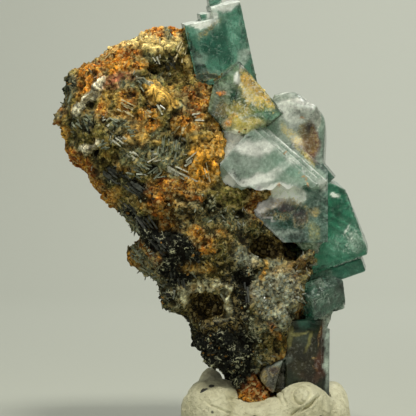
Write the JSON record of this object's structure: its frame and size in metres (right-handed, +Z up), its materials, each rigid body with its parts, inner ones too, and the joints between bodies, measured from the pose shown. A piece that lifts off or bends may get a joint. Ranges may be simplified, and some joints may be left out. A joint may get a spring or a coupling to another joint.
{
  "type": "fluorite specimen",
  "caption": "Mineral specimen of teal, see-through fluorite cubes grown on pitted, iron-stained rock, held upright in a lump of mounting putty.",
  "frame": {"origin": "centre of the putty's flat underside", "axes": "+Z up, the show side faces -Y, the fluorite lies toward +X and the bare rock toward -X"},
  "size_m": [0.0482, 0.0244, 0.0672],
  "materials": {
    "matrix_rock": "rough, porous, rust and ochre with dark patches",
    "fluorite": "see-through teal, partly frosted and iron-stained",
    "putty": "soft matte clay"
  },
  "bodies": {
    "root": {"matrix_rock": "matrix_rock", "fluorite_crystals": "fluorite", "putty_base": "putty"}
  },
  "joints": []
}
